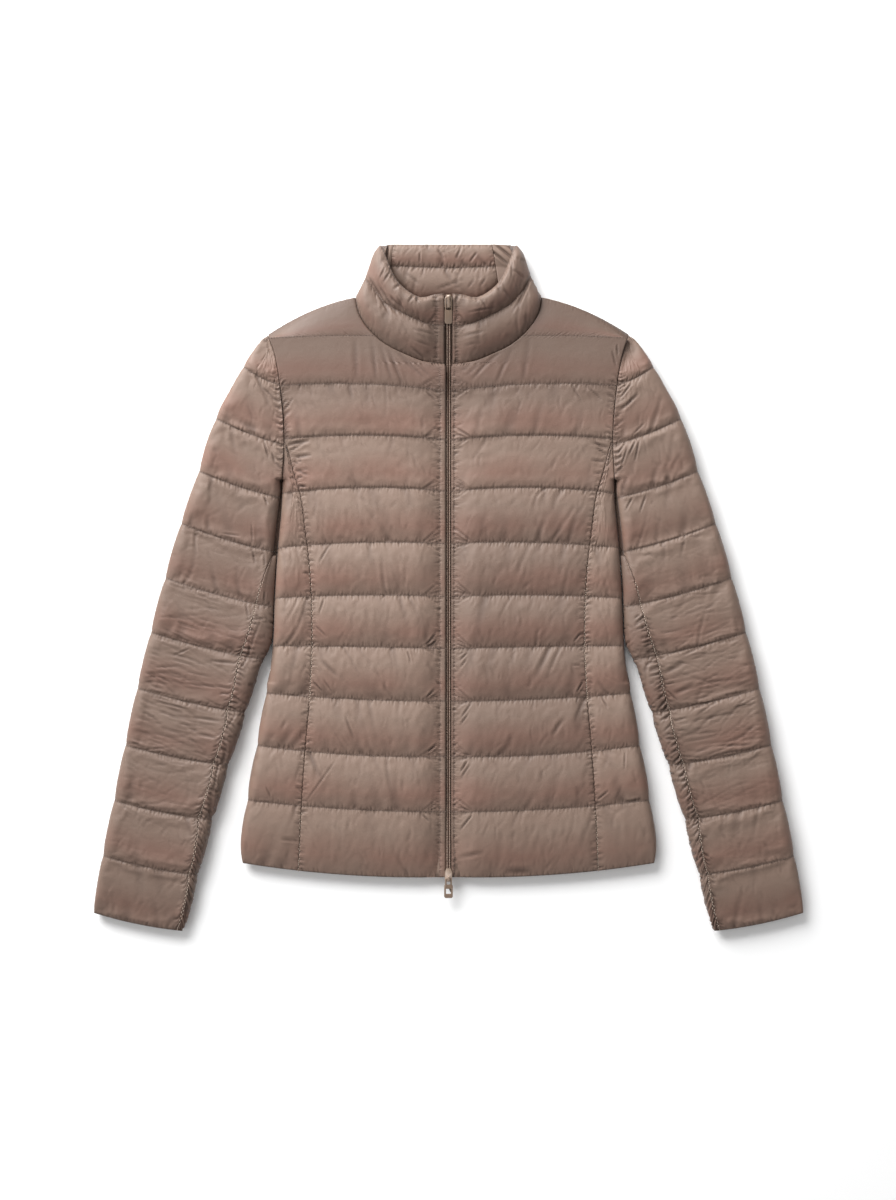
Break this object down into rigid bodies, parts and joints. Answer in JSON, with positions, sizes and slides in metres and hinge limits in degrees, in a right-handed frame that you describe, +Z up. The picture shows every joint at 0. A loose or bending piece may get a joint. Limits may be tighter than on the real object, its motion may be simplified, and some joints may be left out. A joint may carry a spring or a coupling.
{
  "type": "women's light puffer jacket laid flat",
  "caption": "Light quilted puffer jacket with stand collar and two-way front zip, zipped up and laid flat on its back with both sleeves down at its sides.",
  "frame": {"origin": "on the surface that the jacket lies on, under the middle of its bounding box", "axes": "+X across the jacket to the wearer's left, +Y from the hem to the collar, +Z up from the surface through the back and the front"},
  "size_m": [0.7476, 0.721, 0.0372],
  "materials": {
    "satin": "taupe satin nylon over light padding, softly wrinkled",
    "tape": "brown woven zip tape",
    "coil": "dark brown nylon coil",
    "metal": "pinkish brown enamelled zip slider and pull"
  },
  "bodies": {
    "jacket": {"back_panel": "satin", "front_centre_left": "satin", "front_centre_right": "satin", "front_side_left": "satin", "front_side_right": "satin", "sleeve_top_left": "satin", "sleeve_top_right": "satin", "sleeve_under_left": "satin", "sleeve_under_right": "satin", "collar_back": "satin", "collar_front_left": "satin", "collar_front_right": "satin", "zip_tape_left": "tape", "zip_tape_right": "tape", "zip_chain": "coil", "slider_top": "metal", "slider_bottom": "metal"},
    "pull_top": {"pull_top": "metal"},
    "pull_bottom": {"pull_bottom": "metal"}
  },
  "joints": [
    {"name": "pull_top_swing", "type": "hinge", "parent": "jacket", "child": "pull_top", "pos_m": [0, 0.30139, 0.03412], "axis": [-1, 0, 0], "range_deg": [0, 170]},
    {"name": "pull_bottom_swing", "type": "hinge", "parent": "jacket", "child": "pull_bottom", "pos_m": [0, -0.305, 0.0153], "axis": [-1, 0, 0], "range_deg": [0, 178]}
  ]
}
